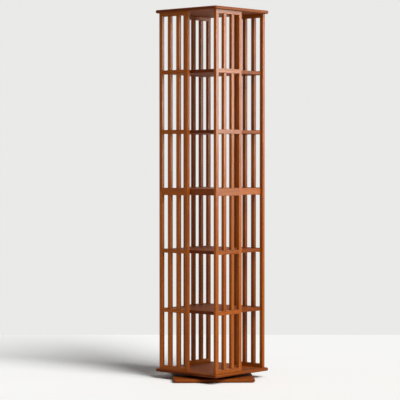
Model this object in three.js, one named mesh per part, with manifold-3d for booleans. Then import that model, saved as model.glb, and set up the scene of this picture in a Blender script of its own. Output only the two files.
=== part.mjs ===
// Revolving bookcase: a square wooden tower of six tiers that turns on a ring bearing over a square
// base plate. The tower is two slatted halves of three tiers, one bolted on the other. On each side a
// slatted panel covers one half and the other half is an open bay, so the panels go round like a
// pinwheel. Millimetres, +Z up, origin on the floor under the turning axis.

import * as THREE from 'three';
import { mergeVertices } from 'three/addons/utils/BufferGeometryUtils.js';
import Module from 'manifold-3d';

const wasm = await Module();
wasm.setup();

// Boards of the tower
const insideWidth = 341; // between opposite side panels
const boardThickness = 16; // every board of the tower
const boardOverhang = 12.5; // bottom and top board past the panels' outer faces
const boardCorner = 12; // bottom and top board, corner radius seen from above
const boardEdgeRound = 6; // bottom and top board, rounding of the edges

// Slatted side panels
const panelLength = 875;
const panelThickness = 17;
const panelReach = 12; // first slat past the shelf's side edge
const slatCount = 4;
const slatWidth = 20.5;
const slatPitch = 56.5;
const endRailHeight = 18;
const shelfRailHeight = 20;
const shelfSpacing = 292; // between the two shelves of a half, centre to centre

// Base
const basePlateSide = 396;
const basePlateThickness = 16;
const basePlateCorner = 12;
const basePlateEdgeRound = 6;
const baseTurn = Math.PI / 4; // base plate against the tower, at rest
const padRadius = 15;
const padThickness = 2.5;
const padInset = 42; // pad centre from the plate's edges

// Swivel
const swivelHeight = 15; // from the base plate to the bottom board
const ringClearance = 2; // each ring to the board that turns past it
const ballCircleRadius = 76;
const ballRadius = 4;
const ballCount = 12;
const raceClearance = 0.5; // from a ball to the sides of its V grooves
const ringSplit = 5; // between the faces of the two rings
const ringWidth = 22;
const cageHeight = 2.4;
const cageSideClearance = 0.7; // cage to each ring face
const accessHoleRadius = 8; // in the base plate, to reach the inner ring's screws

// Fasteners
const fitClearance = 0.3; // between a piece and the hole, recess or edge that holds it
const screwRadius = 2;
const screwHeadRadius = 4;
const screwHeadHeight = 2.2;
const screwTipLength = 3;
const screwBite = 12; // depth in the wood
const boltInset = 40; // bolt axis from the panels' inner faces
const boltRadius = 3;
const boltGrip = 9; // shank inside the sleeve nut
const flangeRadius = 8.5; // head of the bolt and of the sleeve nut
const flangeThickness = 2;
const flangeEdgeEase = 0.5;
const sleeveRadius = 4.5;
const sleeveLength = 13;
const sleeveBoreDepth = 10;
const hexSocketRadius = 2.3;
const hexSocketDepth = 3;
const dowelRadius = 4;
const dowelChamfer = 1;
const dowelInBoard = 10; // end dowels, depth in the bottom or top board
const dowelInSlat = 20; // end dowels, depth in the slat
const dowelInShelf = 12; // shelf dowels, depth in the shelf's edge
const dowelInRail = 8; // shelf dowels, depth in the rail

// Fineness of round shapes
const cornerSteps = 4;
const edgeRoundSteps = 3;
const ringSides = 36;
const cageSides = 24;
const padSides = 16;
const flangeSides = 12;
const smallRoundSides = 8;
const hexSides = 6;
const ballSides = 8;
const ballRows = 4;

// Sizes that follow from the driving ones
const cutOverrun = fitClearance;
const insideHalf = insideWidth / 2;
const boardSide = insideWidth + 2 * (panelThickness + boardOverhang);
const shelfSide = insideWidth - 2 * fitClearance;
const panelStart = -(insideHalf + panelReach);
const panelWidth = (slatCount - 1) * slatPitch + slatWidth;
const slatGap = slatPitch - slatWidth;
const panelMiddleY = -(insideHalf + panelThickness / 2);
const ringHeight = swivelHeight - ringClearance;
const grooveHeight = swivelHeight / 2;
const outerRingBore = ballCircleRadius + ringSplit / 2;
const outerRingRadius = outerRingBore + ringWidth;
const innerRingRadius = ballCircleRadius - ringSplit / 2;
const innerRingBore = innerRingRadius - ringWidth;
const outerScrewCircle = outerRingBore + ringWidth / 2;
const innerScrewCircle = innerRingRadius - ringWidth / 2;
const screwLength = ringHeight + screwBite;
const boltLength = boardThickness + (boardThickness - flangeThickness - sleeveLength) + boltGrip;

// Heights
const basePlateBottom = padThickness;
const basePlateTop = basePlateBottom + basePlateThickness;
const bottomBoardBottom = basePlateTop + swivelHeight;
const lowerHalfBottom = bottomBoardBottom + boardThickness;
const upperHalfBottom = lowerHalfBottom + panelLength;
const topBoardBottom = upperHalfBottom + panelLength;
const firstShelfCentre = (panelLength - shelfSpacing) / 2;
const secondShelfCentre = firstShelfCentre + shelfSpacing;
const railCentres = [
  endRailHeight / 2,
  firstShelfCentre,
  secondShelfCentre,
  panelLength - endRailHeight / 2,
];
const railHeights = [endRailHeight, shelfRailHeight, shelfRailHeight, endRailHeight];

const sides = ['front', 'right', 'back', 'left'];
const quarterTurn = Math.PI / 2;

const wood = { color: 0x8f4c29, roughness: 0.45, metalness: 0 };
const dowelWood = { color: 0xc79a66, roughness: 0.7, metalness: 0 };
const blackSteel = { color: 0x2b2b2d, roughness: 0.5, metalness: 0.8 };
const brightSteel = { color: 0xb9bbbe, roughness: 0.3, metalness: 1 };
const rubber = { color: 0x2a2624, roughness: 0.9, metalness: 0 };

const bookcase = new THREE.Group();

// Adds one named piece to a group.
function addPiece(parent, name, geometry, finish, position = [0, 0, 0], rotation = [0, 0, 0]) {
  const mesh = new THREE.Mesh(geometry, new THREE.MeshStandardMaterial(finish));
  mesh.name = name;
  mesh.position.set(...position);
  mesh.rotation.set(...rotation);
  parent.add(mesh);
  return mesh;
}

// A closed geometry as a solid that can be joined and cut.
function solidOf(geometry) {
  const plain = geometry.clone();
  plain.deleteAttribute('normal');
  plain.deleteAttribute('uv');
  const merged = mergeVertices(plain);
  const corners = merged.index.array;
  const triangles = [];
  for (let i = 0; i < corners.length; i += 3) {
    const [a, b, c] = corners.slice(i, i + 3);
    if (a !== b && b !== c && c !== a) triangles.push(a, b, c);
  }
  return new wasm.Manifold(new wasm.Mesh({
    numProp: 3,
    vertProperties: new Float32Array(merged.attributes.position.array),
    triVerts: new Uint32Array(triangles),
  }));
}

// The solid as a geometry again, with flat shading.
function geometryOf(solid) {
  const { vertProperties, triVerts } = solid.getMesh();
  const indexed = new THREE.BufferGeometry();
  indexed.setAttribute('position', new THREE.BufferAttribute(vertProperties, 3));
  indexed.setIndex(new THREE.BufferAttribute(triVerts, 1));
  const geometry = indexed.toNonIndexed();
  geometry.computeVertexNormals();
  return geometry;
}

function joined(body, additions) {
  return additions.reduce((solid, piece) => solid.add(solidOf(piece)), body);
}

function cut(body, cutters) {
  return cutters.reduce((solid, cutter) => solid.subtract(solidOf(cutter)), body);
}

// An upright round bar from z = bottom to z = top at an {x, y} place.
function bar(radius, bottom, top, place, count = smallRoundSides) {
  const geometry = new THREE.CylinderGeometry(radius, radius, top - bottom, count);
  geometry.rotateX(Math.PI / 2);
  geometry.translate(place.x, place.y, (bottom + top) / 2);
  return geometry;
}

// A shape turned round the Z axis from [radius, height] points.
function revolved(points, count) {
  const profile = points.map(([radius, height]) => new THREE.Vector2(radius, height));
  const geometry = new THREE.LatheGeometry(profile, count);
  geometry.rotateX(Math.PI / 2);
  return geometry;
}

function roundedSquare(side, corner) {
  const centre = side / 2 - corner;
  const shape = new THREE.Shape();
  shape.absarc(centre, centre, corner, 0, quarterTurn);
  shape.absarc(-centre, centre, corner, quarterTurn, 2 * quarterTurn);
  shape.absarc(-centre, -centre, corner, 2 * quarterTurn, 3 * quarterTurn);
  shape.absarc(centre, -centre, corner, 3 * quarterTurn, 4 * quarterTurn);
  return shape;
}

// A square board with rounded corners and edges, its underside at z = 0.
function roundedBoard(side, thickness, corner, edgeRound) {
  const geometry = new THREE.ExtrudeGeometry(roundedSquare(side, corner), {
    depth: thickness - 2 * edgeRound,
    bevelThickness: edgeRound,
    bevelSize: edgeRound,
    bevelOffset: -edgeRound,
    bevelSegments: edgeRoundSteps,
    curveSegments: cornerSteps,
  });
  geometry.translate(0, 0, edgeRound);
  return geometry;
}

function endBoard() {
  return roundedBoard(boardSide, boardThickness, boardCorner, boardEdgeRound);
}

// The two outer slats of a panel take the end dowels. Places in the front panel.
const endDowelPlaces = [0, slatCount - 1].map((slat) => panelStart + slatWidth / 2 + slat * slatPitch);

// The rails take the shelf dowels in the first and last gap. Places in the front panel.
const shelfDowelPlaces = [0, slatCount - 2].map(
  (gap) => panelStart + slatWidth + slatGap / 2 + gap * slatPitch,
);

// A place near the front side, carried round to another side.
function onSide(side, x, y) {
  const place = new THREE.Vector2(x, y);
  return place.rotateAround(new THREE.Vector2(), side * quarterTurn);
}

// The same place near each of the four sides.
function onAllSides(x, y) {
  return sides.map((name, side) => onSide(side, x, y));
}

// Blind holes in a bottom or top board for the dowels of the four panels next to it.
function endDowelHoles(bottom, top) {
  const places = endDowelPlaces.flatMap((x) => onAllSides(x, panelMiddleY));
  return places.map((place) => bar(dowelRadius + fitClearance, bottom, top, place));
}

function addBasePlate(base) {
  const plate = roundedBoard(basePlateSide, basePlateThickness, basePlateCorner, basePlateEdgeRound);
  const holeFloor = basePlateThickness - screwBite - fitClearance;
  const screwHoles = onAllSides(outerScrewCircle, 0).map(
    (place) => bar(screwRadius + fitClearance, holeFloor, basePlateThickness + cutOverrun, place),
  );
  const accessPlace = new THREE.Vector2(innerScrewCircle, 0);
  const accessHole = bar(
    accessHoleRadius, -cutOverrun, basePlateThickness + cutOverrun, accessPlace, flangeSides,
  );
  const drilled = cut(solidOf(plate), [...screwHoles, accessHole]);
  addPiece(base, 'base_plate', geometryOf(drilled), wood, [0, 0, basePlateBottom]);
}

function addFootPads(base) {
  const reach = basePlateSide / 2 - padInset;
  onAllSides(reach, -reach).forEach((place, index) => {
    const pad = bar(padRadius, 0, padThickness, place, padSides);
    addPiece(base, `foot_pad_${index + 1}`, pad, rubber);
  });
}

// The corner points of a ring's section, with a V groove for the balls in the face at faceRadius.
function ringSection(faceRadius, farRadius, grooveCentre) {
  const outward = Math.sign(farRadius - faceRadius);
  const grooveReach = (ballRadius + raceClearance) * Math.SQRT2;
  const grooveHalfHeight = grooveReach - ringSplit / 2;
  const section = [
    [faceRadius, 0],
    [farRadius, 0],
    [farRadius, ringHeight],
    [faceRadius, ringHeight],
    [faceRadius, grooveCentre + grooveHalfHeight],
    [ballCircleRadius + outward * grooveReach, grooveCentre],
    [faceRadius, grooveCentre - grooveHalfHeight],
    [faceRadius, 0],
  ];
  return outward > 0 ? section : section.reverse();
}

// A hole through a ring for a countersunk screw that points up from z = 0.
function countersunkHole() {
  const clearRadius = screwRadius + fitClearance;
  const mouthRadius = screwHeadRadius + fitClearance;
  return revolved([
    [0, -cutOverrun],
    [mouthRadius, -cutOverrun],
    [mouthRadius, 0],
    [clearRadius, screwHeadHeight],
    [clearRadius, ringHeight + cutOverrun],
    [0, ringHeight + cutOverrun],
  ], smallRoundSides);
}

// A countersunk wood screw that points up, its head's face at z = 0.
function countersunkScrew() {
  return revolved([
    [0, 0],
    [screwHeadRadius, 0],
    [screwRadius, screwHeadHeight],
    [screwRadius, screwLength - screwTipLength],
    [0, screwLength],
  ], smallRoundSides);
}

// The fixed ring stands on the base plate, screwed down from above.
function addOuterRing(base) {
  const ring = revolved(ringSection(outerRingBore, outerRingRadius, grooveHeight), ringSides);
  const places = onAllSides(outerScrewCircle, 0);
  const holes = places.map((place) => {
    const hole = countersunkHole();
    hole.rotateX(Math.PI);
    hole.translate(place.x, place.y, ringHeight);
    return hole;
  });
  const drilled = geometryOf(cut(solidOf(ring), holes));
  addPiece(base, 'swivel_outer_ring', drilled, blackSteel, [0, 0, basePlateTop]);
  places.forEach((place, index) => {
    const head = [place.x, place.y, basePlateTop + ringHeight];
    addPiece(base, `base_ring_screw_${index + 1}`, countersunkScrew(), brightSteel, head, [Math.PI, 0, 0]);
  });
}

// The turning ring hangs from the bottom board, screwed up from below.
function addInnerRing(tower) {
  const ringBottom = bottomBoardBottom - ringHeight;
  const section = ringSection(innerRingRadius, innerRingBore, grooveHeight - ringClearance);
  const ring = revolved(section, ringSides);
  const places = onAllSides(innerScrewCircle, 0);
  const holes = places.map((place) => countersunkHole().translate(place.x, place.y, 0));
  const drilled = geometryOf(cut(solidOf(ring), holes));
  addPiece(tower, 'swivel_inner_ring', drilled, blackSteel, [0, 0, ringBottom]);
  places.forEach((place, index) => {
    const head = [place.x, place.y, ringBottom];
    addPiece(tower, `tower_ring_screw_${index + 1}`, countersunkScrew(), brightSteel, head);
  });
}

// The balls and the flat ring that spaces them, as one unit.
function addBallCage(parent) {
  const cageHalfWidth = ringSplit / 2 - cageSideClearance;
  const cageRing = revolved([
    [ballCircleRadius - cageHalfWidth, -cageHeight / 2],
    [ballCircleRadius + cageHalfWidth, -cageHeight / 2],
    [ballCircleRadius + cageHalfWidth, cageHeight / 2],
    [ballCircleRadius - cageHalfWidth, cageHeight / 2],
    [ballCircleRadius - cageHalfWidth, -cageHeight / 2],
  ], cageSides);
  const balls = Array.from({ length: ballCount }, (unused, index) => {
    const angle = index * 2 * Math.PI / ballCount;
    const ball = new THREE.SphereGeometry(ballRadius, ballSides, ballRows);
    ball.translate(ballCircleRadius * Math.cos(angle), ballCircleRadius * Math.sin(angle), 0);
    return ball;
  });
  const cage = geometryOf(joined(solidOf(cageRing), balls));
  addPiece(parent, 'swivel_ball_cage', cage, brightSteel, [0, 0, basePlateTop + grooveHeight]);
}

function addEndBoards(tower) {
  const screwHoles = onAllSides(innerScrewCircle, 0).map(
    (place) => bar(screwRadius + fitClearance, -cutOverrun, screwBite + fitClearance, place),
  );
  const dowelHoles = endDowelHoles(boardThickness - dowelInBoard, boardThickness + cutOverrun);
  const bottomBoard = cut(solidOf(endBoard()), [...screwHoles, ...dowelHoles]);
  addPiece(tower, 'bottom_board', geometryOf(bottomBoard), wood, [0, 0, bottomBoardBottom]);
  const topBoard = cut(solidOf(endBoard()), endDowelHoles(-cutOverrun, dowelInBoard));
  addPiece(tower, 'top_board', geometryOf(topBoard), wood, [0, 0, topBoardBottom]);
}

// A round bar square to the front side, from y = inner out to y = outer.
function crossBar(radius, inner, outer, x, z) {
  const geometry = new THREE.CylinderGeometry(radius, radius, inner - outer, smallRoundSides);
  geometry.translate(x, (inner + outer) / 2, z);
  return geometry;
}

// A shelf or middle board with the dowels glued into its edges, its underside at z = 0.
function shelfSolid() {
  const shelf = new THREE.BoxGeometry(shelfSide, shelfSide, boardThickness);
  shelf.translate(0, 0, boardThickness / 2);
  const root = -shelfSide / 2 + dowelInShelf;
  const tip = -shelfSide / 2 - dowelInRail;
  const dowels = sides.flatMap((name, side) => shelfDowelPlaces.map((x) => {
    const dowel = crossBar(dowelRadius, root, tip, x, boardThickness / 2);
    dowel.rotateZ(side * quarterTurn);
    return dowel;
  }));
  return joined(solidOf(shelf), dowels);
}

function addShelves(tower) {
  const halves = [['lower', lowerHalfBottom], ['upper', upperHalfBottom]];
  halves.forEach(([half, halfBottom]) => {
    [firstShelfCentre, secondShelfCentre].forEach((centre, index) => {
      const height = halfBottom + centre - boardThickness / 2;
      addPiece(tower, `${half}_shelf_${index + 1}`, geometryOf(shelfSolid()), wood, [0, 0, height]);
    });
  });
}

// The four corners where the two halves are bolted together.
const boltPlaces = onAllSides(insideHalf - boltInset, boltInset - insideHalf);

// A hole through a middle board for a shank that runs up from a flange let in flush at z = 0.
function flushHole(shankRadius) {
  const recessRadius = flangeRadius + fitClearance;
  const recessDepth = flangeThickness + fitClearance;
  const clearRadius = shankRadius + fitClearance;
  return revolved([
    [0, -cutOverrun],
    [recessRadius, -cutOverrun],
    [recessRadius, recessDepth],
    [clearRadius, recessDepth],
    [clearRadius, boardThickness + cutOverrun],
    [0, boardThickness + cutOverrun],
  ], flangeSides);
}

// The boards that close the lower half at its top and the upper half at its bottom.
function addMiddleBoards(tower) {
  const nutHoles = boltPlaces.map((place) => flushHole(sleeveRadius).translate(place.x, place.y, 0));
  const lowerBoard = geometryOf(cut(shelfSolid(), nutHoles));
  addPiece(tower, 'lower_middle_board', lowerBoard, wood, [0, 0, upperHalfBottom - boardThickness]);
  const boltHoles = boltPlaces.map((place) => {
    const hole = flushHole(boltRadius);
    hole.rotateX(Math.PI);
    hole.translate(place.x, place.y, boardThickness);
    return hole;
  });
  const upperBoard = geometryOf(cut(shelfSolid(), boltHoles));
  addPiece(tower, 'upper_middle_board', upperBoard, wood, [0, 0, upperHalfBottom]);
}

// Points of a flange that lies on z = 0 and is broken along its outer edge.
function flangeSection() {
  return [
    [0, 0],
    [flangeRadius - flangeEdgeEase, 0],
    [flangeRadius, flangeEdgeEase],
    [flangeRadius, flangeThickness],
  ];
}

function hexSocket() {
  return bar(hexSocketRadius, -cutOverrun, hexSocketDepth, new THREE.Vector2(), hexSides);
}

function connectorBolt() {
  const blank = revolved([
    ...flangeSection(),
    [boltRadius, flangeThickness],
    [boltRadius, boltLength],
    [0, boltLength],
  ], flangeSides);
  return geometryOf(cut(solidOf(blank), [hexSocket()]));
}

function sleeveNut() {
  const nutLength = flangeThickness + sleeveLength;
  const boreRadius = boltRadius + fitClearance;
  const blank = revolved([
    ...flangeSection(),
    [sleeveRadius, flangeThickness],
    [sleeveRadius, nutLength],
    [boreRadius, nutLength],
    [boreRadius, nutLength - sleeveBoreDepth],
    [0, nutLength - sleeveBoreDepth],
  ], flangeSides);
  return geometryOf(cut(solidOf(blank), [hexSocket()]));
}

function addConnectors(tower) {
  boltPlaces.forEach((place, index) => {
    const head = [place.x, place.y, upperHalfBottom + boardThickness];
    addPiece(tower, `connector_bolt_${index + 1}`, connectorBolt(), brightSteel, head, [Math.PI, 0, 0]);
    const flange = [place.x, place.y, upperHalfBottom - boardThickness];
    addPiece(tower, `connector_nut_${index + 1}`, sleeveNut(), brightSteel, flange);
  });
}

// A flat strip of the front panel, its inner face against the shelves.
function strip(left, right, bottom, top) {
  const geometry = new THREE.BoxGeometry(right - left, panelThickness, top - bottom);
  geometry.translate((left + right) / 2, panelMiddleY, (bottom + top) / 2);
  return geometry;
}

// The front panel of the lower half: slats and rails glued up flush. It stands on z = 0, with the end
// dowel holes at its foot and the holes for the middle board's dowels at its head.
function panelSolid() {
  const slats = Array.from({ length: slatCount }, (unused, index) => {
    const left = panelStart + index * slatPitch;
    return strip(left, left + slatWidth, 0, panelLength);
  });
  const rails = railCentres.map((centre, index) => {
    const half = railHeights[index] / 2;
    return strip(panelStart, panelStart + panelWidth, centre - half, centre + half);
  });

  const holeHeights = [firstShelfCentre, secondShelfCentre, panelLength - boardThickness / 2];
  const holeFloor = -insideHalf - dowelInRail;
  const railHoles = holeHeights.flatMap((height) => shelfDowelPlaces.map(
    (x) => crossBar(dowelRadius + fitClearance, -insideHalf + cutOverrun, holeFloor, x, height),
  ));
  const footHoles = endDowelPlaces.map((x) => {
    const place = new THREE.Vector2(x, panelMiddleY);
    return bar(dowelRadius + fitClearance, -cutOverrun, dowelInSlat, place);
  });
  const [firstSlat, ...otherStrips] = [...slats, ...rails];
  return cut(joined(solidOf(firstSlat), otherStrips), [...railHoles, ...footHoles]);
}

// All eight panels are alike. Those of the upper half stand on their head.
function addPanels(tower) {
  const panel = geometryOf(panelSolid());
  const panelCentre = panelStart + panelWidth / 2;
  sides.forEach((name, side) => {
    const turned = new THREE.Group();
    turned.rotation.z = side * quarterTurn;
    tower.add(turned);
    addPiece(turned, `lower_${name}_panel`, panel.clone(), wood, [0, 0, lowerHalfBottom]);
    const upperPlace = [2 * panelCentre, 0, topBoardBottom];
    addPiece(turned, `upper_${name}_panel`, panel.clone(), wood, upperPlace, [0, Math.PI, 0]);
  });
}

function endDowel() {
  const length = dowelInBoard + dowelInSlat - 2 * fitClearance;
  return revolved([
    [0, 0],
    [dowelRadius - dowelChamfer, 0],
    [dowelRadius, dowelChamfer],
    [dowelRadius, length - dowelChamfer],
    [dowelRadius - dowelChamfer, length],
    [0, length],
  ], smallRoundSides);
}

function addEndDowels(tower) {
  sides.forEach((name, side) => {
    endDowelPlaces.forEach((x, index) => {
      const place = onSide(side, x, panelMiddleY);
      const number = side * endDowelPlaces.length + index + 1;
      const low = [place.x, place.y, lowerHalfBottom - dowelInBoard + fitClearance];
      addPiece(tower, `bottom_dowel_${number}`, endDowel(), dowelWood, low);
      const high = [place.x, place.y, topBoardBottom - dowelInSlat + fitClearance];
      addPiece(tower, `top_dowel_${number}`, endDowel(), dowelWood, high);
    });
  });
}

const base = new THREE.Group();
base.rotation.z = baseTurn;
bookcase.add(base);
const tower = new THREE.Group();
bookcase.add(tower);

addBasePlate(base);
addFootPads(base);
addOuterRing(base);
addInnerRing(tower);
addBallCage(bookcase);
addEndBoards(tower);
addShelves(tower);
addMiddleBoards(tower);
addConnectors(tower);
addPanels(tower);
addEndDowels(tower);

export default bookcase;
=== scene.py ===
"""Revolving bookcase: a slatted wooden tower of six tiers that turns on a square base plate.

The visible pieces are modelled round the fixed frame, from the frame's own boxes and the sizes
below.
"""

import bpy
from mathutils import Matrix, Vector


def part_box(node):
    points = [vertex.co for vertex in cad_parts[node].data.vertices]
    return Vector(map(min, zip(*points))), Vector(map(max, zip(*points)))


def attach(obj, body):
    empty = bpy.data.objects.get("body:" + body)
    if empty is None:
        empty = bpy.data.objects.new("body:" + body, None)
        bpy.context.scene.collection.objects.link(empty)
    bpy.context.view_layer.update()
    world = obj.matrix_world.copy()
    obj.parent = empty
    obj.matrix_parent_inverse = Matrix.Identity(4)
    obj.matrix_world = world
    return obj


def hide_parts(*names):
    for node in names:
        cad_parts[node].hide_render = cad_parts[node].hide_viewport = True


bl_info = {
    "name": "Revolving Bookcase",
    "version": (1, 0, 0),
    "blender": (4, 5, 0),
    "location": "3D View > Sidebar > Bookcase",
    "description": "Models and finishes a slatted revolving bookcase round its fixed frame",
    "category": "Object",
}

import math

import bmesh
import bpy
from bpy.props import FloatProperty, FloatVectorProperty, IntProperty, PointerProperty
from bpy.types import NodeSocket, Operator, Panel, PropertyGroup
from mathutils import Vector

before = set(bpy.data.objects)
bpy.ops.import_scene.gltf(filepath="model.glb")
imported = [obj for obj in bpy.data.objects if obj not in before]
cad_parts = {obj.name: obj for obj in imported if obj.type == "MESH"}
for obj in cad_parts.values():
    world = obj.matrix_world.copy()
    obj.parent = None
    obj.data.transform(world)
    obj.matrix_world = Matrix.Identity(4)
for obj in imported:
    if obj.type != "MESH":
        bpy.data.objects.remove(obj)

MM = 0.001
X, Y, Z = 0, 1, 2
SIDES = ("front", "right", "back", "left")
HALVES = ("lower", "upper")
QUARTER_TURN = math.pi / 2
EIGHTH_TURN = math.pi / 4
SMOOTH_ANGLE = math.radians(50)
PARALLEL = 0.99  # share of an edge's length that has to lie along an axis

# How many the frame has of what stands round the axis
PADS, RING_SCREWS, CONNECTORS = 4, 4, 4

# Sides of round shapes and steps of rounded edges
LARGE_ROUND = 96
SMALL_ROUND = 40
BALL_SIDES, BALL_RINGS = 24, 16
HEX_SIDES = 6
CORNER_STEPS = 8
EDGE_STEPS = 8
EASE_STEPS = 3
RIM_STEPS = 2
STRIP_STEPS = 4

# Small details of the hardware
CUT_OVERRUN = MM  # of a cutter past the face that it cuts
PAD_EASE = 0.5 * MM
CONNECTOR_EASE = 0.4 * MM
CAGE_EASE = 0.3 * MM
CAGE_GAP = 0.7 * MM  # from the cage to the face of each ring
SCREW_EASE = 0.2 * MM  # of the head's rim, and the radius left at the tip
SCREW_TIP = 3 * MM
CROSS_HALF, CROSS_REACH, CROSS_DEPTH = 0.45 * MM, 2.1 * MM, 1.4 * MM
SINK_DEPTH = 20 * MM

# Wood: the width of a glued-up stave, where each kind of board starts to number its lengths, and
# the step from one board to the next
STAVE_WIDTH = 46 * MM
SHELF_GRAIN, END_BOARD_GRAIN, BASE_GRAIN = 100, 500, 700
GRAIN_STEP = 50
GLOSS_SPREAD = 0.02  # of the lacquer's roughness, to each side

# Stage, in metres
FLOOR_REACH = 12.0
FLOOR_THICKNESS = 0.02
CLIP_END = 100
KEY_PLACE = (4.2, -0.59, 3.93)
STRIP_PLACE = (2.42, 1.62, 1.65)
STRIP_WIDTH, STRIP_HEIGHT = 0.5, 1.3
STRIP_SPREAD = math.radians(50)

# Input and output places of the colour Mix node
MIX_FACTOR, MIX_A, MIX_B, MIX_RESULT = 0, 6, 7, 2


def linear(hex_colour):
    """An sRGB hex colour as the linear values that shaders take."""
    channels = [int(hex_colour[i : i + 2], 16) / 255 for i in (1, 3, 5)]
    return [c / 12.92 if c <= 0.04045 else ((c + 0.055) / 1.055) ** 2.4 for c in channels]


def length(name, description, millimetres):
    """A length property with its default in millimetres."""
    return FloatProperty(
        name=name,
        description=description,
        default=millimetres * MM,
        min=0,
        precision=4,
        subtype="DISTANCE",
        unit="LENGTH",
    )


def colour(name, description, hex_colour):
    """A colour property with its default as sRGB hex."""
    return FloatVectorProperty(
        name=name,
        description=description,
        default=linear(hex_colour),
        min=0,
        max=1,
        size=3,
        subtype="COLOR",
    )


class BookcaseSizes(PropertyGroup):
    """Sizes of the wooden pieces that the frame's boxes don't give."""

    board_corner: length("Board Corner", "Corner radius of the end boards and the base board", 12)
    board_round: length("Board Edge", "Rounding of the end boards' and base board's edges", 6.5)
    base_side: length("Base Side", "Side of the square base board", 396)
    base_turn: FloatProperty(
        name="Base Turn",
        description="Base board against the tower, at rest",
        default=math.radians(45),
        subtype="ANGLE",
    )
    shelf_gap: length("Shelf Gap", "From a shelf's edge to the panel beside it", 0.3)
    shelf_ease: length("Shelf Edge", "Easing of the edges of the shelves", 1)
    slat_count: IntProperty(
        name="Slats", description="Slats across a side panel", default=4, min=3
    )
    slat_width: length("Slat Width", "Width of a slat", 20.5)
    slat_ease: length("Slat Edge", "Easing of the long edges of slats", 2.5)
    rail_ease: length("Rail Edge", "Easing of the long edges of rails", 0.6)
    end_rail: length("End Rail", "Height of the rails at a panel's foot and head", 18)
    shelf_rail: length("Shelf Rail", "Height of the rails at the shelves", 20)
    shelf_spacing: length("Shelf Spacing", "Between the two shelf rails, centre to centre", 292)


class BookcaseHardware(PropertyGroup):
    """Sizes of the swivel, the connectors and the pads."""

    ball_circle: length("Ball Circle", "Radius of the circle that the balls run on", 76)
    ball_count: IntProperty(name="Balls", description="Balls in the swivel", default=12, min=3)
    ball_radius: length("Ball Radius", "Radius of a ball", 4)
    ring_split: length("Ring Split", "Between the faces of the two swivel rings", 5)
    ring_width: length("Ring Width", "Width of a swivel ring", 22)
    race_gap: length("Race Gap", "From a ball to the sides of its V grooves", 0.5)
    cage_height: length("Cage Height", "Height of the ring that spaces the balls", 2.4)
    ring_ease: length("Ring Edge", "Easing of the rims of the swivel rings", 0.5)
    access_hole: length("Access Hole", "Radius of the hole in the base board", 8)
    screw_radius: length("Screw", "Radius of a ring screw's shank", 2)
    screw_head: length("Screw Head", "Radius of a ring screw's head", 4)
    screw_head_height: length("Screw Head Height", "Height of the countersunk head", 2.2)
    bolt_inset: length("Bolt Inset", "Bolt axis from the panels' inner faces", 40)
    flange_radius: length("Flange", "Radius of the connectors' heads", 8.5)
    flange_height: length("Flange Height", "Height of the connectors' heads", 2)
    flange_gap: length("Flange Gap", "Round a connector's head, in its recess", 0.3)
    bolt_radius: length("Bolt", "Radius of a connector bolt's shank", 3)
    sleeve_radius: length("Sleeve", "Radius of a sleeve nut's shank", 4.5)
    hex_radius: length("Hex Socket", "Radius over the corners of the hex socket", 2.3)
    hex_depth: length("Hex Depth", "Depth of the hex socket", 1.6)
    pad_radius: length("Pad", "Radius of a foot pad", 15)
    pad_inset: length("Pad Inset", "Pad centre from the base board's edges", 42)


class BookcaseFinish(PropertyGroup):
    """Colours of the finishes."""

    slat_deep: colour("Slat Deep", "Slats, where the stain sinks into open grain", "#682B09")
    slat_main: colour("Slat Main", "Slats, over most of their faces", "#91450D")
    slat_light: colour("Slat Light", "Slats, hard grain that takes less stain", "#AC6020")
    # Board colours: a darker copy of the slats' stain, partly a darker stain and partly painted
    # shade for the base's front edge and the shelves' edges
    board_deep: colour("Board Deep", "Boards, where the stain sinks into open grain", "#4A1C07")
    board_main: colour("Board Main", "Boards, over most of their faces", "#7A380D")
    board_light: colour("Board Light", "Boards, hard grain that takes less stain", "#904B18")
    beech: colour("Beech", "Unstained beech of the dowels", "#C79A66")
    enamel: colour("Enamel", "Baked enamel on the swivel rings", "#2B2B2D")
    zinc: colour("Zinc", "Zinc plating on screws and connectors", "#B9BBBE")
    bearing: colour("Bearing Steel", "Polished bearing steel of the balls", "#C6C8CA")
    foam: colour("Foam Rubber", "Foot pads", "#2A2624")


class BookcaseStage(PropertyGroup):
    """Camera, floor, background and lamps."""

    camera_turn: FloatProperty(
        name="Camera Turn",
        description="Camera's way round the bookcase from its front",
        default=math.radians(41.66),
        subtype="ANGLE",
    )
    camera_distance: length("Camera Distance", "From the camera to the turning axis", 8233)
    camera_height: length("Camera Height", "Camera above the floor", 1089)
    camera_lens: FloatProperty(
        name="Lens", description="Focal length", default=150, min=1, unit="CAMERA"
    )
    aim_height: length("Aim Height", "Height of the point in the middle of the picture", 881)
    aim_left: length("Aim Left", "Middle of the picture, left of the turning axis", 60)
    floor_depth: length("Floor Depth", "From the turning axis to the floor's far edge", 2010)
    wall: colour("Wall", "Background behind the bookcase", "#EAEAE8")
    floor: colour("Floor", "Floor paint", "#FAFAF8")
    strip_tint: colour("Strip Tint", "Colour of the tall strip lamp", "#ECF6FF")
    shine_tint: colour("Shine Tint", "Colour of the lamp that only shines", "#CAF2F4")
    key_level: FloatProperty(
        name="Key", description="Strength of the key light", default=3.8, min=0
    )
    key_angle: FloatProperty(
        name="Key Softness",
        description="Angle that the key light fills, seen from the bookcase",
        default=math.radians(32),
        subtype="ANGLE",
    )
    strip_level: FloatProperty(
        name="Strip",
        description="Power of the tall strip lamp",
        default=4.6,
        min=0,
        unit="POWER",
    )
    shine_level: FloatProperty(
        name="Shine",
        description="Power of the lamp that only shines",
        default=24,
        min=0,
        unit="POWER",
    )
    fill_level: FloatProperty(
        name="Fill", description="Strength of the even light all round", default=0.14, min=0
    )


def facing(place, aim):
    """The turn that makes a camera or lamp at a place look at another."""
    return (Vector(aim) - Vector(place)).to_track_quat("-Z", "Y").to_euler()


# Modelling


def only(piece):
    """Selects one piece alone."""
    bpy.ops.object.select_all(action="DESELECT")
    piece.select_set(True)
    bpy.context.view_layer.objects.active = piece


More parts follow.
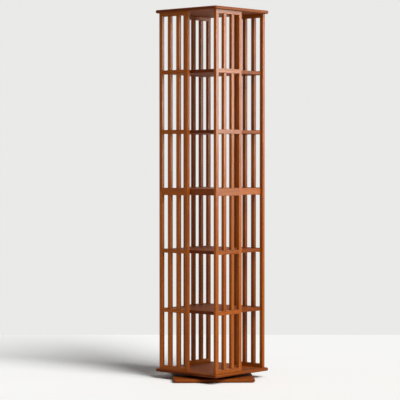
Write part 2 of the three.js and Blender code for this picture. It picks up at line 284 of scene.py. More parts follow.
def edit(piece):
    """Opens a piece in edit mode."""
    only(piece)
    bpy.ops.object.mode_set(mode="EDIT")


def pick(piece, kind, wanted):
    """In edit mode, selects the edges or faces that pass a test."""
    bpy.ops.mesh.select_mode(type=kind)
    bpy.ops.mesh.select_all(action="DESELECT")
    mesh = bmesh.from_edit_mesh(piece.data)
    for element in mesh.edges if kind == "EDGE" else mesh.faces:
        if wanted(element):
            element.select_set(True)
    mesh.select_flush_mode()
    bmesh.update_edit_mesh(piece.data)


def apply_modifier(piece, kind, **settings):
    """Puts a modifier on a piece and applies it."""
    only(piece)
    modifier = piece.modifiers.new(kind.title(), kind)
    for name, value in settings.items():
        setattr(modifier, name, value)
    bpy.ops.object.modifier_apply(modifier=modifier.name)


def ease_edges(piece, width, steps=EASE_STEPS):
    """Rounds every sharp edge of a piece a little."""
    apply_modifier(piece, "BEVEL", width=width, segments=steps, limit_method="ANGLE")


def smooth(piece):
    """Shades rounded edges smooth and leaves flat faces flat."""
    only(piece)
    bpy.ops.object.shade_smooth_by_angle(angle=SMOOTH_ANGLE)
    apply_modifier(piece, "WEIGHTED_NORMAL", keep_sharp=True)


def joined(pieces, name):
    """Joins pieces into the first one."""
    bpy.ops.object.select_all(action="DESELECT")
    for piece in pieces:
        piece.select_set(True)
    bpy.context.view_layer.objects.active = pieces[0]
    bpy.ops.object.join()
    pieces[0].name = pieces[0].data.name = name
    return pieces[0]


def copy_of(piece, name, turn=0.0, place=(0, 0, 0), flip=False):
    """A copy with its own mesh, turned about the Z axis and put in place, flipped over if asked."""
    only(piece)
    bpy.ops.object.duplicate(linked=False)
    twin = bpy.context.object
    twin.name = twin.data.name = name
    twin.rotation_euler = (math.pi if flip else 0, 0, turn)
    twin.location = place
    bpy.ops.object.transform_apply()
    return twin


def cut(piece, cutter):
    """Cuts one piece out of another and removes the cutter."""
    apply_modifier(piece, "BOOLEAN", object=cutter, operation="DIFFERENCE", solver="EXACT")
    bpy.data.objects.remove(cutter)


def block(name, low, high):
    """A box between two corners."""
    bpy.ops.object.select_all(action="DESELECT")
    low, high = Vector(low), Vector(high)
    bpy.ops.mesh.primitive_cube_add(size=1, location=(low + high) / 2, scale=high - low)
    piece = bpy.context.object
    piece.name = piece.data.name = name
    bpy.ops.object.transform_apply()
    return piece


def runs_along(edge, axis):
    """Whether an edge is parallel to an axis."""
    way = edge.verts[1].co - edge.verts[0].co
    return abs(way[axis]) > PARALLEL * way.length


def strip(name, low, high, axis, ease):
    """A slat or rail: a moulded strip with its long edges eased."""
    piece = block(name, low, high)
    edit(piece)
    pick(piece, "EDGE", lambda edge: runs_along(edge, axis))
    bpy.ops.mesh.bevel(offset=ease, segments=STRIP_STEPS, affect="EDGES")
    bpy.ops.object.mode_set(mode="OBJECT")
    return piece


def rounded_board(name, low, high, corner, edge_round):
    """A board with rounded corners and a rounded edge all the way round."""
    board = block(name, low, high)
    edit(board)
    pick(board, "EDGE", lambda edge: runs_along(edge, Z))
    bpy.ops.mesh.bevel(offset=corner, segments=CORNER_STEPS, affect="EDGES")
    pick(board, "EDGE", lambda edge: not runs_along(edge, Z))
    bpy.ops.mesh.bevel(offset=edge_round, segments=EDGE_STEPS, affect="EDGES", clamp_overlap=False)
    bpy.ops.object.mode_set(mode="OBJECT")
    return board


def turned(name, outline, sides=SMALL_ROUND, ring=False):
    """A round piece on the Z axis, drawn out along an outline of (radius, height) from a disc.

    A ring's outline ends at the height where it starts, and the two round ends are bridged.
    """
    bpy.ops.object.select_all(action="DESELECT")
    radius, height = outline[0]
    bpy.ops.mesh.primitive_circle_add(
        vertices=sides, radius=radius, fill_type="NGON", location=(0, 0, height)
    )
    piece = bpy.context.object
    piece.name = piece.data.name = name
    bpy.ops.object.transform_apply()
    edit(piece)
    bpy.ops.mesh.select_all(action="SELECT")
    for next_radius, next_height in outline[1:]:
        rise = {"value": (0, 0, next_height - height)}
        bpy.ops.mesh.extrude_region_move(TRANSFORM_OT_translate=rise)
        scale = next_radius / radius
        bpy.ops.transform.resize(value=(scale, scale, 1), center_override=(0, 0, next_height))
        radius, height = next_radius, next_height
    if ring:
        pick(piece, "FACE", lambda face: len(face.verts) == sides)
        bpy.ops.mesh.delete(type="ONLY_FACE")
        pick(piece, "EDGE", lambda edge: edge.is_boundary)
        bpy.ops.mesh.bridge_edge_loops()
    bpy.ops.mesh.select_all(action="SELECT")
    bpy.ops.mesh.normals_make_consistent(inside=False)
    bpy.ops.object.mode_set(mode="OBJECT")
    return piece


def lay_grain(piece, axis, number, centre=(0, 0, 0)):
    """Writes each point's place in its own length of wood, along, across and through the grain,
    the number of that length, and how far each face cuts across the grain."""
    order = [axis] + [other for other in (X, Y, Z) if other != axis]
    centre = Vector(centre)
    points = [vertex.co - centre for vertex in piece.data.vertices]
    place = piece.data.attributes.new("wood_place", "FLOAT_VECTOR", "POINT")
    place.data.foreach_set("vector", [point[way] for point in points for way in order])
    count = piece.data.attributes.new("wood_number", "FLOAT", "POINT")
    count.data.foreach_set("value", [number] * len(points))
    ends = piece.data.attributes.new("wood_end", "FLOAT", "FACE")
    ends.data.foreach_set("value", [abs(face.normal[axis]) for face in piece.data.polygons])


def renumber(piece, step):
    """Moves the numbers of a copy's lengths of wood on, so that it has a grain of its own."""
    count = piece.data.attributes["wood_number"].data
    for entry in count:
        entry.value += step


def fit(piece, body, slot, finish, *nodes):
    """Gives a finished piece its material, its body and the nodes that it stands for."""
    piece.data.materials.clear()
    piece.data.materials.append(finish)
    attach(piece, body)
    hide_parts(*nodes)


def round_the_axis(radius, count, start=0.0):
    """Places at equal angles on a circle round the turning axis."""
    step = 2 * math.pi / count
    return [
        (radius * math.cos(start + i * step), radius * math.sin(start + i * step))
        for i in range(count)
    ]


# Materials


def add_node(tree, kind, inputs=None, **settings):
    """Adds a node, sets its properties, and fills its inputs with values or links."""
    node = tree.nodes.new(kind)
    for name, value in settings.items():
        setattr(node, name, value)
    for name, value in (inputs or {}).items():
        if isinstance(value, NodeSocket):
            tree.links.new(value, node.inputs[name])
        else:
            node.inputs[name].default_value = value
    return node


def new_material(name):
    """A new material, its emptied node tree, and the output in that."""
    made = bpy.data.materials.new(name)
    made.use_nodes = True
    made.node_tree.nodes.clear()
    output = made.node_tree.nodes.new("ShaderNodeOutputMaterial")
    return made, made.node_tree, output


def rgba(values):
    """A colour property's values with an opaque fourth."""
    return (*values, 1)


def stained_rubberwood(name, stain, roughness, lacquer, stave_width=0.0):
    """Rubberwood, moulded into strips or glued up from staves, stained reddish brown, lacquered.

    The eye gets soft light and dark streaks along each length, a tone that differs a little from
    length to length, short dark pores, and a satin lacquer that shows the grain under it.
    """
    finish = bpy.context.scene.bookcase_finish
    deep, main, light = (
        rgba(getattr(finish, f"{stain}_{shade}")) for shade in ("deep", "main", "light")
    )
    made, tree, output = new_material(name)
    place = add_node(tree, "ShaderNodeAttribute", attribute_name="wood_place").outputs["Vector"]
    number = add_node(tree, "ShaderNodeAttribute", attribute_name="wood_number").outputs["Fac"]
    if stave_width:
        across = add_node(tree, "ShaderNodeSeparateXYZ", {0: place}).outputs["Y"]
        staves = add_node(tree, "ShaderNodeMath", {0: across, 1: stave_width}, operation="DIVIDE")
        stave = add_node(tree, "ShaderNodeMath", {0: staves.outputs[0]}, operation="FLOOR")
        number = add_node(tree, "ShaderNodeMath", {0: number, 1: stave.outputs[0]}).outputs[0]
    chance = add_node(
        tree, "ShaderNodeTexWhiteNoise", {"W": number}, noise_dimensions="1D"
    ).outputs
    # Each length is cut from its own part of a log 3 m long, up to 90 mm from the heart
    log_reach = (3.0, 0.09, 0.09)
    shift = add_node(
        tree, "ShaderNodeVectorMath", {0: chance["Color"], 1: log_reach}, operation="MULTIPLY"
    ).outputs[0]
    in_log = add_node(tree, "ShaderNodeVectorMath", {0: place, 1: shift}).outputs[0]

    # Growth rings 5 mm apart, wandering slowly along the length
    ring_step = 5 * MM
    flattened = add_node(
        tree, "ShaderNodeVectorMath", {0: in_log, 1: (0.04, 1, 1)}, operation="MULTIPLY"
    ).outputs[0]
    rings = add_node(
        tree,
        "ShaderNodeTexWave",
        {
            "Vector": flattened,
            "Scale": math.pi / 10 / ring_step,
            "Distortion": 3.0,
            "Detail": 2.0,
            "Detail Scale": 0.6,
        },
        wave_type="RINGS",
        rings_direction="X",
    ).outputs["Fac"]

    # Streaks 9 mm wide and 260 mm long, fibres 1.1 mm by 70 mm, pores 0.5 mm by 7 mm
    noises = []
    for long, wide, detail in ((260, 9, 3.0), (70, 1.1, 2.0), (7, 0.5, 0.0)):
        scale = (1 / (long * MM), 1 / (wide * MM), 1 / (wide * MM))
        spread = add_node(
            tree, "ShaderNodeVectorMath", {0: in_log, 1: scale}, operation="MULTIPLY"
        ).outputs[0]
        noise = add_node(
            tree, "ShaderNodeTexNoise", {"Vector": spread, "Scale": 1.0, "Detail": detail}
        )
        noises.append(noise.outputs["Fac"])
    streaks, fibres, pore_noise = noises
    # Only the peaks of the noise open into pores
    pores = add_node(
        tree, "ShaderNodeMapRange", {"Value": pore_noise, "From Min": 0.64, "From Max": 0.74}
    ).outputs["Result"]

    # Hard growth rings and hard streaks take less stain, open fibres and pores take more
    figure = add_node(
        tree, "ShaderNodeMath", {0: rings, 1: 0.35, 2: streaks}, operation="MULTIPLY_ADD"
    ).outputs[0]
    hardness = add_node(
        tree, "ShaderNodeMapRange", {"Value": figure, "From Min": 0.45, "From Max": 0.95}
    ).outputs["Result"]
    ground = add_node(
        tree, "ShaderNodeMix", {MIX_FACTOR: hardness, MIX_A: main, MIX_B: light}, data_type="RGBA"
    ).outputs[MIX_RESULT]
    open_grain = add_node(
        tree,
        "ShaderNodeMapRange",
        {"Value": fibres, "From Min": 0.42, "From Max": 0.72, "To Max": 0.55},
    ).outputs["Result"]
    sunk = add_node(
        tree, "ShaderNodeMath", {0: open_grain, 1: pores}, operation="MAXIMUM"
    ).outputs[0]
    stained = add_node(
        tree, "ShaderNodeMix", {MIX_FACTOR: sunk, MIX_A: ground, MIX_B: deep}, data_type="RGBA"
    ).outputs[MIX_RESULT]
    # End grain drinks more stain and turns darker
    end = add_node(tree, "ShaderNodeAttribute", attribute_name="wood_end").outputs["Fac"]
    thirst = add_node(
        tree, "ShaderNodeMapRange", {"Value": end, "From Min": 0.2, "To Max": 0.75}
    ).outputs["Result"]
    stained = add_node(
        tree, "ShaderNodeMix", {MIX_FACTOR: thirst, MIX_A: stained, MIX_B: deep}, data_type="RGBA"
    ).outputs[MIX_RESULT]
    # Every length has a tone of its own
    tone = add_node(
        tree, "ShaderNodeMapRange", {"Value": chance["Value"], "To Min": 0.88, "To Max": 1.1}
    ).outputs["Result"]
    toned = add_node(
        tree, "ShaderNodeHueSaturation", {"Value": tone, "Color": stained}
    ).outputs["Color"]

    relief = add_node(
        tree, "ShaderNodeMath", {0: pores, 1: -1.0, 2: fibres}, operation="MULTIPLY_ADD"
    ).outputs[0]
    bump = add_node(
        tree,
        "ShaderNodeBump",
        {"Height": relief, "Strength": 0.06, "Distance": 0.1 * MM},
    ).outputs["Normal"]
    low, high = roughness - GLOSS_SPREAD, roughness + GLOSS_SPREAD
    gloss = add_node(
        tree, "ShaderNodeMapRange", {"Value": fibres, "To Min": low, "To Max": high}
    ).outputs["Result"]
    shader = add_node(
        tree,
        "ShaderNodeBsdfPrincipled",
        {
            "Base Color": toned,
            "Roughness": gloss,
            "IOR": 1.5,
            "Specular IOR Level": lacquer,
            "Normal": bump,
        },
    )
    tree.links.new(shader.outputs[0], output.inputs[0])
    return made


def speckled(name, base, grit, spread, **settings):
    """A plain finish whose tone and gloss vary a little, at a grit size in metres."""
    made, tree, output = new_material(name)
    place = add_node(tree, "ShaderNodeTexCoord").outputs["Object"]
    noise = add_node(
        tree, "ShaderNodeTexNoise", {"Vector": place, "Scale": 1 / grit, "Detail": 3.0}
    ).outputs["Fac"]
    low, high = 1 - spread, 1 + spread
    tone = add_node(
        tree, "ShaderNodeMapRange", {"Value": noise, "To Min": low, "To Max": high}
    ).outputs["Result"]
    tinted = add_node(
        tree, "ShaderNodeHueSaturation", {"Value": tone, "Color": rgba(base)}
    ).outputs["Color"]
    rough = settings.pop("Roughness")
    gloss = add_node(
        tree, "ShaderNodeMapRange", {"Value": noise, "To Min": rough * low, "To Max": rough * high}
    ).outputs["Result"]
    bump = add_node(
        tree, "ShaderNodeBump", {"Height": noise, "Strength": spread, "Distance": grit / 4}
    ).outputs["Normal"]
    shader = add_node(
        tree,
        "ShaderNodeBsdfPrincipled",
        {"Base Color": tinted, "Roughness": gloss, "Normal": bump, **settings},
    )
    tree.links.new(shader.outputs[0], output.inputs[0])
    return made


def turned_beech():
    """Beech, turned and left plain: pale, with short darker flecks along the dowel."""
    finish = bpy.context.scene.bookcase_finish
    made, tree, output = new_material("Turned beech")
    place = add_node(tree, "ShaderNodeTexCoord").outputs["Object"]
    # Flecks 0.6 mm wide and 5 mm long
    scale = (1 / (0.6 * MM), 1 / (0.6 * MM), 1 / (5 * MM))
    spread = add_node(
        tree, "ShaderNodeVectorMath", {0: place, 1: scale}, operation="MULTIPLY"
    ).outputs[0]
    flecks = add_node(tree, "ShaderNodeTexNoise", {"Vector": spread, "Scale": 1.0}).outputs["Fac"]
    tone = add_node(
        tree, "ShaderNodeMapRange", {"Value": flecks, "To Min": 0.8, "To Max": 1.1}
    ).outputs["Result"]
    tinted = add_node(
        tree, "ShaderNodeHueSaturation", {"Value": tone, "Color": rgba(finish.beech)}
    ).outputs["Color"]
    shader = add_node(
        tree, "ShaderNodeBsdfPrincipled", {"Base Color": tinted, "Roughness": 0.65, "IOR": 1.5}
    )
    tree.links.new(shader.outputs[0], output.inputs[0])
    return made


def material(name):
    """A finish by its name, made the first time it is asked for."""
    made = bpy.data.materials.get(name)
    if made:
        return made
    finish = bpy.context.scene.bookcase_finish
    if name == "Stained rubberwood strip":
        return stained_rubberwood(name, "slat", roughness=0.35, lacquer=0.1)
    if name == "Stained rubberwood staves":
        return stained_rubberwood(
            name, "slat", roughness=0.42, lacquer=0.1, stave_width=STAVE_WIDTH
        )
    # Boards: the slats' stain made darker, partly a darker stain and partly painted shade
    if name == "Dark stained rubberwood staves with painted shade":
        return stained_rubberwood(
            name, "board", roughness=0.55, lacquer=0.07, stave_width=STAVE_WIDTH
        )
    if name == "Turned beech":
        return turned_beech()
    if name == "Baked enamel":
        # Black enamel on pressed steel: even, with a faint orange peel 1.5 mm across
        return speckled(name, finish.enamel, grit=1.5 * MM, spread=0.08, Roughness=0.42, IOR=1.5)
    if name == "Zinc plated steel":
        # Barrel-plated fasteners: bright, a little cloudy
        return speckled(name, finish.zinc, grit=0.8 * MM, spread=0.12, Roughness=0.3, Metallic=1.0)
    if name == "Polished bearing steel":
        # Ground and polished balls and their cage: a clear mirror with hardly any haze
        return speckled(
            name, finish.bearing, grit=2 * MM, spread=0.05, Roughness=0.12, Metallic=1.0
        )
    if name == "Stamped foam rubber":
        # Closed-cell foam rubber: matt and finely pitted
        return speckled(name, finish.foam, grit=0.7 * MM, spread=0.2, Roughness=0.9, IOR=1.5)
    raise ValueError(f"No finish is named {name}")


# Pieces


class BOOKCASE_OT_stage(Operator):
    """Sets up the camera, the floor, the background and the lamps"""

    bl_idname = "bookcase.stage"
    bl_label = "Stage"

    def execute(self, context):
        stage = context.scene.bookcase_stage
        self.add_camera(context.scene, stage)
        self.add_floor(stage)
        self.light_world(context.scene, stage)
        self.add_lamps(stage)
        context.scene.view_settings.view_transform = "Standard"
        return {"FINISHED"}

    def add_camera(self, scene, stage):
        """The camera, far off with a long lens, as the photograph was taken."""
        turn, distance, left = stage.camera_turn, stage.camera_distance, stage.aim_left
        place = (distance * math.sin(turn), -distance * math.cos(turn), stage.camera_height)
        aim = Vector((-left * math.cos(turn), -left * math.sin(turn), stage.aim_height))
        bpy.ops.object.camera_add(location=place, rotation=facing(place, aim))
        camera = bpy.context.object
        camera.name = "Camera"
        camera.data.lens = stage.camera_lens
        camera.data.clip_end = CLIP_END
        scene.camera = camera

    def add_floor(self, stage):
        """A floor square to the camera, with its far edge not far behind the bookcase."""
        low = (-FLOOR_REACH, -FLOOR_REACH, -FLOOR_THICKNESS)
        floor = block("Floor", low, (FLOOR_REACH, stage.floor_depth, 0))
        floor.rotation_euler.z = stage.camera_turn
        only(floor)
        bpy.ops.object.transform_apply()
        # Matt floor paint, rolled: a pale coat with hardly any shine, whose tone varies by 1 % over
        # patches 400 mm across
        paint = speckled(
            "Rolled floor paint", stage.floor, grit=0.4, spread=0.01, Roughness=0.9, IOR=1.4
        )
        floor.data.materials.append(paint)

    def light_world(self, scene, stage):
        """An even light all round, and the wall where the camera, gloss or glass sees it."""
        world = bpy.data.worlds.new("Studio")
        scene.world = world
        world.use_nodes = True
        tree = world.node_tree
        tree.nodes.clear()
        ray = add_node(tree, "ShaderNodeLightPath").outputs
        seen = add_node(
            tree,
            "ShaderNodeMath",
            {0: ray["Is Camera Ray"], 1: ray["Is Glossy Ray"]},
            operation="MAXIMUM",
        ).outputs[0]
        seen = add_node(
            tree, "ShaderNodeMath", {0: seen, 1: ray["Is Transmission Ray"]}, operation="MAXIMUM"
        ).outputs[0]
        light = add_node(
            tree, "ShaderNodeBackground", {"Color": (1, 1, 1, 1), "Strength": stage.fill_level}
        )
        wall = add_node(tree, "ShaderNodeBackground", {"Color": rgba(stage.wall)})
        sky = add_node(
            tree, "ShaderNodeMixShader", {0: seen, 1: light.outputs[0], 2: wall.outputs[0]}
        )
        add_node(tree, "ShaderNodeOutputWorld", {"Surface": sky.outputs[0]})

    def add_lamps(self, stage):
        """A key light and two strip lamps."""
        # A broad key light high on the right, even over the whole floor
        key = self.lamp("Key light", "SUN", KEY_PLACE, (0, 0, 0), stage.key_level)
        key.data.angle = stage.key_angle
        # Tall strip lamps with grids on one stand: one lights the wood of the upper tiers, and
        # both shine in its lacquer
        for name, level, tint, lights_wood in (
            ("Strip lamp", stage.strip_level, stage.strip_tint, True),
            ("Shine lamp", stage.shine_level, stage.shine_tint, False),
        ):
            lamp = self.lamp(name, "AREA", STRIP_PLACE, (0, 0, STRIP_PLACE[Z]), level)
            lamp.data.shape = "RECTANGLE"
            lamp.data.size, lamp.data.size_y = STRIP_WIDTH, STRIP_HEIGHT
            lamp.data.spread = STRIP_SPREAD
            lamp.data.color = tint
            lamp.visible_diffuse = lights_wood

    def lamp(self, name, kind, place, aim, level):
        """A lamp at a place, turned to what it lights and not seen itself."""
        bpy.ops.object.light_add(type=kind, location=place, rotation=facing(place, aim))
        lamp = bpy.context.object
        lamp.name = name
        lamp.data.energy = level
        lamp.visible_camera = False
        return lamp


class BOOKCASE_OT_base(Operator):
    """Models the base board and its four foot pads"""

    bl_idname = "bookcase.base"
    bl_label = "Base Board and Pads"

    def execute(self, context):
        sizes = context.scene.bookcase_sizes
        hardware = context.scene.bookcase_hardware
        low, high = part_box("base_plate")
        half = sizes.base_side / 2
        board = rounded_board(
            "base_board",
            (-half, -half, low.z),
            (half, half, high.z),
            sizes.board_corner,
            sizes.board_round,
        )
        inner_ring_middle = hardware.ball_circle - (hardware.ring_split + hardware.ring_width) / 2
        ends = (low.z - CUT_OVERRUN, high.z + CUT_OVERRUN)
        hole = turned("Hole", [(hardware.access_hole, height) for height in ends])
        hole.location.x = inner_ring_middle
        cut(board, hole)
        smooth(board)
        lay_grain(board, X, BASE_GRAIN)
        board.rotation_euler.z = sizes.base_turn
        only(board)
        bpy.ops.object.transform_apply()
        # The base takes the dark board stain, whose darkness paints in the shade on its front edge
        fit(board, "base", "base_wood", material("Dark stained rubberwood staves with painted shade"), "base_plate")

        low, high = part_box("foot_pad_1")
        radius = hardware.pad_radius
        pad = turned("Pad", [(radius, 0), (radius, high.z - low.z)])
        ease_edges(pad, PAD_EASE)
        smooth(pad)
        reach = (half - hardware.pad_inset) * math.sqrt(2)
        places = round_the_axis(reach, PADS, sizes.base_turn - EIGHTH_TURN)
        for number, (x, y) in enumerate(places, 1):
            twin = copy_of(pad, f"round_pad_{number}", place=(x, y, low.z))
            fit(twin, "base", "pad_rubber", material("Stamped foam rubber"), f"foot_pad_{number}")
        bpy.data.objects.remove(pad)
        return {"FINISHED"}


class BOOKCASE_OT_swivel(Operator):
    """Models the two swivel rings, the balls with their cage, and the ring screws"""

    bl_idname = "bookcase.swivel"
    bl_label = "Swivel"

    def execute(self, context):
        sizes = context.scene.bookcase_sizes
        hardware = context.scene.bookcase_hardware
        outer_face = hardware.ball_circle + hardware.ring_split / 2
        inner_face = hardware.ball_circle - hardware.ring_split / 2
        cage_middle = sum(corner.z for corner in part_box("swivel_ball_cage")) / 2

        rings = (
            ("fixed_ring", "swivel_outer_ring", "base", outer_face, 1, sizes.base_turn, False),
            ("turning_ring", "swivel_inner_ring", "tower", inner_face, -1, 0.0, True),
        )
        screw = self.screw(hardware)
        for name, node, body, face, outward, turn, head_down in rings:
            low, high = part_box(node)
            ring = self.ring(name, hardware, face, outward, low.z, high.z, cage_middle)
            middle = face + outward * hardware.ring_width / 2
            head_height = low.z if head_down else high.z
            for number, (x, y) in enumerate(round_the_axis(middle, RING_SCREWS, turn), 1):
                self.sink(ring, hardware, x, y, head_height, head_down)
                screw_name = f"{body}_wood_screw_{number}"
                place = (x, y, head_height)
                twin = copy_of(screw, screw_name, EIGHTH_TURN, place, flip=not head_down)
                screw_node = f"{body}_ring_screw_{number}"
                fit(twin, body, "bright_steel", material("Zinc plated steel"), screw_node)
            smooth(ring)
            fit(ring, body, "black_steel", material("Baked enamel"), node)
        bpy.data.objects.remove(screw)
        self.add_balls(hardware, cage_middle)
        return {"FINISHED"}

    def ring(self, name, hardware, face, outward, low, high, middle):
        """A pressed ring with a V groove in the face that the balls run in."""
        far = face + outward * hardware.ring_width
        reach = (hardware.ball_radius + hardware.race_gap) * math.sqrt(2)
        groove = hardware.ball_circle + outward * reach
        half = reach - hardware.ring_split / 2
        outline = [
            (far, low),
            (far, high),
            (face, high),
            (face, middle + half),
            (groove, middle),
            (face, middle - half),
            (face, low),
        ]
        ring = turned(name, outline, LARGE_ROUND, ring=True)
        ease_edges(ring, hardware.ring_ease, RIM_STEPS)
        return ring

    def sink(self, ring, hardware, x, y, height, head_down):
        """Cuts the cone that a screw's head sits in."""
        gap = hardware.flange_gap
        wide = hardware.screw_head + gap
        narrow = hardware.screw_radius + gap
        cone = turned(
            "Sink",
            [
                (wide, -CUT_OVERRUN),
                (wide, 0),
                (narrow, hardware.screw_head_height),
                (narrow, SINK_DEPTH),
            ],
        )
        cone.location = (x, y, height)
        cone.rotation_euler.x = 0 if head_down else math.pi
        cut(ring, cone)

    def screw(self, hardware):
        """A countersunk wood screw that points up, with a cross recess in its head."""
        head, shank = hardware.screw_head, hardware.screw_radius
        low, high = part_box("tower_ring_screw_1")
        tall = high.z - low.z
        screw = turned(
            "Screw",
            [
                (head - SCREW_EASE, 0),
                (head, SCREW_EASE),
                (shank, hardware.screw_head_height),
                (shank, tall - SCREW_TIP),
                (SCREW_EASE, tall),
            ],
        )
        for across, along in ((CROSS_HALF, CROSS_REACH), (CROSS_REACH, CROSS_HALF)):
            low, high = (-across, -along, -CUT_OVERRUN), (across, along, CROSS_DEPTH)
            cut(screw, block("Cross", low, high))
        smooth(screw)
        return screw

    def add_balls(self, hardware, middle):
        """Balls and the flat ring between them that keeps them apart."""
        half_width = hardware.ring_split / 2 - CAGE_GAP
        half_height = hardware.cage_height / 2
        inner, outer = hardware.ball_circle - half_width, hardware.ball_circle + half_width
        cage = turned(
            "Cage",
            [
                (outer, middle - half_height),
                (outer, middle + half_height),
                (inner, middle + half_height),
                (inner, middle - half_height),
            ],
            LARGE_ROUND,
            ring=True,
        )
        ease_edges(cage, CAGE_EASE, RIM_STEPS)
        bpy.ops.object.select_all(action="DESELECT")
        bpy.ops.mesh.primitive_uv_sphere_add(
            segments=BALL_SIDES,
            ring_count=BALL_RINGS,
            radius=hardware.ball_radius,
            location=(0, 0, 0),
        )
        ball = bpy.context.object
        places = round_the_axis(hardware.ball_circle, hardware.ball_count)
        balls = [copy_of(ball, "Ball", place=(x, y, middle)) for x, y in places]
        bpy.data.objects.remove(ball)
        cage = joined([cage, *balls], "balls_in_cage")
        smooth(cage)
        steel = material("Polished bearing steel")
        fit(cage, "ball_cage", "bright_steel", steel, "swivel_ball_cage")


class BOOKCASE_OT_end_boards(Operator):
    """Models the bottom board and the top board"""

    bl_idname = "bookcase.end_boards"
    bl_label = "Bottom and Top Boards"

    def execute(self, context):
        sizes = context.scene.bookcase_sizes
        low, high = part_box("bottom_board")
        board = rounded_board("Board", low, high, sizes.board_corner, sizes.board_round)
        smooth(board)
        for number, end in enumerate(("bottom", "top")):
            node = f"{end}_board"
            twin = copy_of(board, f"{end}_deck", place=(0, 0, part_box(node)[0].z - low.z))
            lay_grain(twin, Y, END_BOARD_GRAIN + GRAIN_STEP * number)
            # End boards share the dark board stain and the painted shade in it
            fit(twin, "tower", "board_wood", material("Dark stained rubberwood staves with painted shade"), node)
        bpy.data.objects.remove(board)
        return {"FINISHED"}


class BOOKCASE_OT_shelves(Operator):
    """Models the four shelves and the two middle boards with their bolt recesses"""

    bl_idname = "bookcase.shelves"
    bl_label = "Shelves and Middle Boards"

    def execute(self, context):
        sizes = context.scene.bookcase_sizes
        hardware = context.scene.bookcase_hardware
        inside_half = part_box("lower_right_panel")[0].x
        half = inside_half - sizes.shelf_gap
        low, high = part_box("lower_shelf_1")
        foot = low.z
        shelf = block("Shelf", (-half, -half, foot), (half, half, high.z))
        ease_edges(shelf, sizes.shelf_ease)
        smooth(shelf)

        nodes = [f"{part}_shelf_{number}" for part in HALVES for number in (1, 2)]
        nodes += [f"{part}_middle_board" for part in HALVES]
        for number, node in enumerate(nodes):
            low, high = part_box(node)
            name = node.replace("shelf", "tier").replace("board", "deck")
            if "shelf" in node:
                # Shelves take the dark board stain, which also paints in the shade that they sit in
                wood = "Dark stained rubberwood staves with painted shade"
                board = copy_of(shelf, name, place=(0, 0, low.z - foot))
            else:
                wood = "Stained rubberwood staves"
                board = block(name, (-half, -half, low.z), (half, half, high.z))
                recess_at = low.z if node.startswith("lower") else high.z
                self.cut_recesses(board, hardware, inside_half, recess_at)
                ease_edges(board, sizes.shelf_ease)
                smooth(board)
            lay_grain(board, Y, SHELF_GRAIN + GRAIN_STEP * number)
            fit(board, "tower", "board_wood", material(wood), node)
        bpy.data.objects.remove(shelf)
        return {"FINISHED"}

    def cut_recesses(self, board, hardware, inside_half, height):
        """Sinks a round recess for each connector's head."""
        radius = hardware.flange_radius + hardware.flange_gap
        depth = hardware.flange_height + hardware.flange_gap
        reach = (inside_half - hardware.bolt_inset) * math.sqrt(2)
        for x, y in round_the_axis(reach, CONNECTORS, EIGHTH_TURN):
            plug = turned("Plug", [(radius, height - depth), (radius, height + depth)])
            plug.location = (x, y, 0)
            cut(board, plug)


class BOOKCASE_OT_connectors(Operator):
    """Models the bolts and sleeve nuts that hold the two halves together"""

    bl_idname = "bookcase.connectors"
    bl_label = "Connectors"

    def execute(self, context):
        hardware = context.scene.bookcase_hardware
        inside_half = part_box("lower_right_panel")[0].x
        reach = (inside_half - hardware.bolt_inset) * math.sqrt(2)
        kinds = (
            ("bolt", hardware.bolt_radius, True),
            ("nut", hardware.sleeve_radius, False),
        )
        for kind, shank, flip in kinds:
            low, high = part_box(f"connector_{kind}_1")
            piece = self.connector(hardware, shank, high.z - low.z)
            height = high.z if flip else low.z
            places = round_the_axis(reach, CONNECTORS, -EIGHTH_TURN)
            for number, (x, y) in enumerate(places, 1):
                twin = copy_of(piece, f"hex_{kind}_{number}", place=(x, y, height), flip=flip)
                node = f"connector_{kind}_{number}"
                fit(twin, "tower", "bright_steel", material("Zinc plated steel"), node)
            bpy.data.objects.remove(piece)
        return {"FINISHED"}

    def connector(self, hardware, shank, tall):
        """A flat round head at z = 0 with a hex socket, and a plain shank up from it."""
        flange, thick = hardware.flange_radius, hardware.flange_height
        piece = turned("Connector", [(flange, 0), (flange, thick), (shank, thick), (shank, tall)])
        ease_edges(piece, CONNECTOR_EASE)
        ends = (-CUT_OVERRUN, hardware.hex_depth)
        socket = [(hardware.hex_radius, height) for height in ends]
        cut(piece, turned("Hex", socket, HEX_SIDES))
        smooth(piece)
        return piece


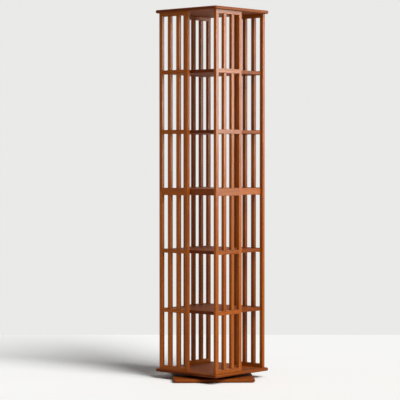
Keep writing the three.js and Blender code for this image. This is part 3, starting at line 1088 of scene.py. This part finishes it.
class BOOKCASE_OT_panels(Operator):
    """Models the eight slatted side panels"""

    bl_idname = "bookcase.panels"
    bl_label = "Side Panels"

    def execute(self, context):
        sizes = context.scene.bookcase_sizes
        first = self.front_panel(sizes, *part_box("lower_front_panel"))
        # More numbers than a panel has strips, so that no two panels share one
        strips = sizes.slat_count * 3 + 4
        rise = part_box("upper_front_panel")[0].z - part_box("lower_front_panel")[0].z
        for half_number, half in enumerate(HALVES):
            for side_number, side in enumerate(SIDES):
                panel = copy_of(
                    first,
                    f"{half}_{side}_slats",
                    turn=side_number * QUARTER_TURN,
                    place=(0, 0, half_number * rise),
                )
                renumber(panel, strips * (half_number * len(SIDES) + side_number))
                wood = material("Stained rubberwood strip")
                fit(panel, "tower", "slat_wood", wood, f"{half}_{side}_panel")
        bpy.data.objects.remove(first)
        return {"FINISHED"}

    def front_panel(self, sizes, low, high):
        """Two outer slats, four rails between them, and short slats between the rails."""
        tall = high.z - low.z
        centres = [
            sizes.end_rail / 2,
            (tall - sizes.shelf_spacing) / 2,
            (tall + sizes.shelf_spacing) / 2,
            tall - sizes.end_rail / 2,
        ]
        heights = [sizes.end_rail, sizes.shelf_rail, sizes.shelf_rail, sizes.end_rail]
        rails = [
            (low.z + centre - height / 2, low.z + centre + height / 2)
            for centre, height in zip(centres, heights)
        ]
        wide = sizes.slat_width
        pitch = (high.x - low.x - wide) / (sizes.slat_count - 1)
        lefts = [low.x + i * pitch for i in range(sizes.slat_count)]
        # A strip's end runs over the rounded edge that it meets, so the faces go through flush
        cover = sizes.slat_ease
        spans = [(left, low.z, left + wide, high.z, Z) for left in (lefts[0], lefts[-1])]
        spans += [
            (lefts[0] + wide - cover, foot, lefts[-1] + cover, head, X) for foot, head in rails
        ]
        spans += [
            (left, below[1] - cover, left + wide, above[0] + cover, Z)
            for left in lefts[1:-1]
            for below, above in zip(rails, rails[1:])
        ]
        pieces = []
        for number, (left, foot, right, head, axis) in enumerate(spans):
            corners = Vector((left, low.y, foot)), Vector((right, high.y, head))
            ease = sizes.slat_ease if axis == Z else sizes.rail_ease
            piece = strip("Strip", *corners, axis, ease)
            lay_grain(piece, axis, number, sum(corners, Vector()) / 2)
            pieces.append(piece)
        panel = joined(pieces, "Panel")
        smooth(panel)
        return panel


class BOOKCASE_OT_dowels(Operator):
    """Gives the hidden dowels their beech"""

    bl_idname = "bookcase.dowels"
    bl_label = "Dowels"

    def execute(self, context):
        for name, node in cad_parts.items():
            if "_dowel_" in name:
                for slot in node.material_slots:
                    slot.material = material("Turned beech")
        return {"FINISHED"}


class BOOKCASE_PT_sidebar(Panel):
    """Lists the bookcase's sizes, finishes and modelling steps"""

    bl_idname = "BOOKCASE_PT_sidebar"
    bl_label = "Revolving Bookcase"
    bl_space_type = "VIEW_3D"
    bl_region_type = "UI"
    bl_category = "Bookcase"

    def draw(self, context):
        for step in STEPS:
            self.layout.operator(step.bl_idname)
        for group in GROUPS:
            box = self.layout.box()
            settings = getattr(context.scene, GROUPS[group])
            for name in group.__annotations__:
                box.prop(settings, name)


STEPS = (
    BOOKCASE_OT_stage,
    BOOKCASE_OT_base,
    BOOKCASE_OT_swivel,
    BOOKCASE_OT_end_boards,
    BOOKCASE_OT_shelves,
    BOOKCASE_OT_connectors,
    BOOKCASE_OT_panels,
    BOOKCASE_OT_dowels,
)
GROUPS = {
    BookcaseSizes: "bookcase_sizes",
    BookcaseHardware: "bookcase_hardware",
    BookcaseFinish: "bookcase_finish",
    BookcaseStage: "bookcase_stage",
}


def register():
    """Registers the settings, the steps and the sidebar."""
    for group, name in GROUPS.items():
        bpy.utils.register_class(group)
        setattr(bpy.types.Scene, name, PointerProperty(type=group))
    for step in (*STEPS, BOOKCASE_PT_sidebar):
        bpy.utils.register_class(step)


def unregister():
    """Takes them away again."""
    for step in (BOOKCASE_PT_sidebar, *STEPS):
        bpy.utils.unregister_class(step)
    for group, name in GROUPS.items():
        delattr(bpy.types.Scene, name)
        bpy.utils.unregister_class(group)


def main():
    """Runs every step."""
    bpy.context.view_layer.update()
    register()
    bpy.ops.bookcase.stage()
    bpy.ops.bookcase.base()
    bpy.ops.bookcase.swivel()
    bpy.ops.bookcase.end_boards()
    bpy.ops.bookcase.shelves()
    bpy.ops.bookcase.connectors()
    bpy.ops.bookcase.panels()
    bpy.ops.bookcase.dowels()
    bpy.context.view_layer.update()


if __name__ == "__main__":
    main()
